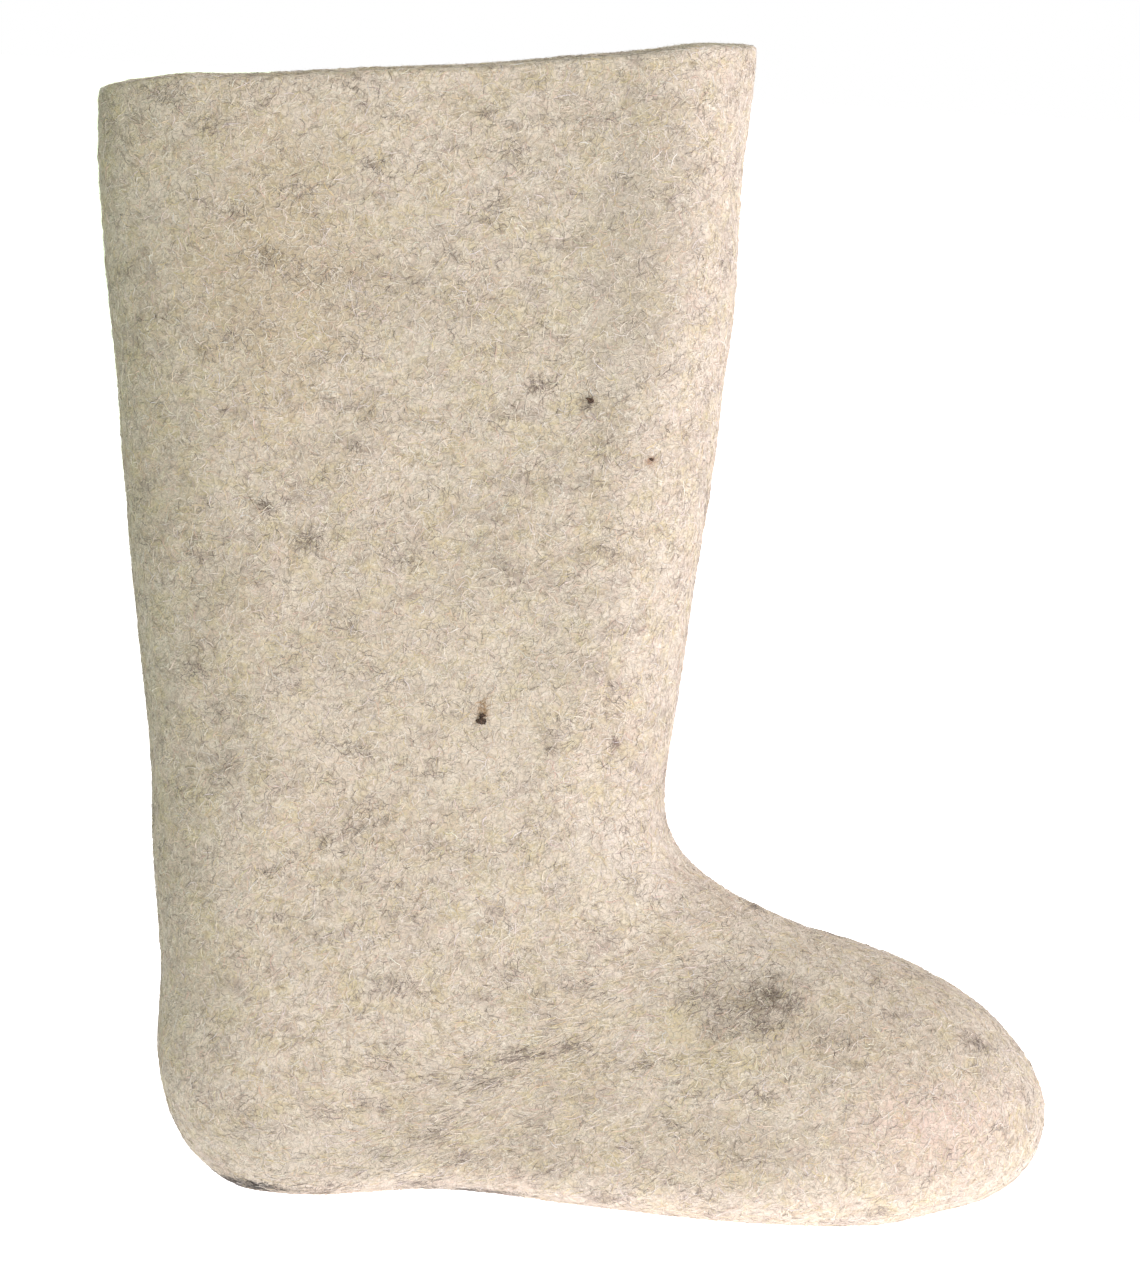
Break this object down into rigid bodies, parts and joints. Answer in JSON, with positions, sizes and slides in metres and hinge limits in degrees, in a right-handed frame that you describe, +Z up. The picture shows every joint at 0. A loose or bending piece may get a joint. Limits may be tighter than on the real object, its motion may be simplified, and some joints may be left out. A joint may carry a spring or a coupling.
{
  "type": "felt boot",
  "caption": "Seamless felt boot with a flattened shaft, a slanting cut collar, a rounded toe, a felted sole and a loose felt insole.",
  "frame": {"origin": "on the floor, in the middle of the heel's flat spot", "axes": "+Z up along the shaft, +X towards the toe, Y across the boot, which is symmetric in Y"},
  "size_m": [0.337, 0.1138, 0.3917],
  "materials": {
    "felt": "matte, thick pressed wool felt in natural grey-beige, mottled, with short curly hairs",
    "insole_felt": "matte, thin pressed wool felt, a little greyer than the boot"
  },
  "bodies": {
    "root": {"felt_boot": "felt", "felt_insole": "insole_felt"}
  },
  "joints": []
}
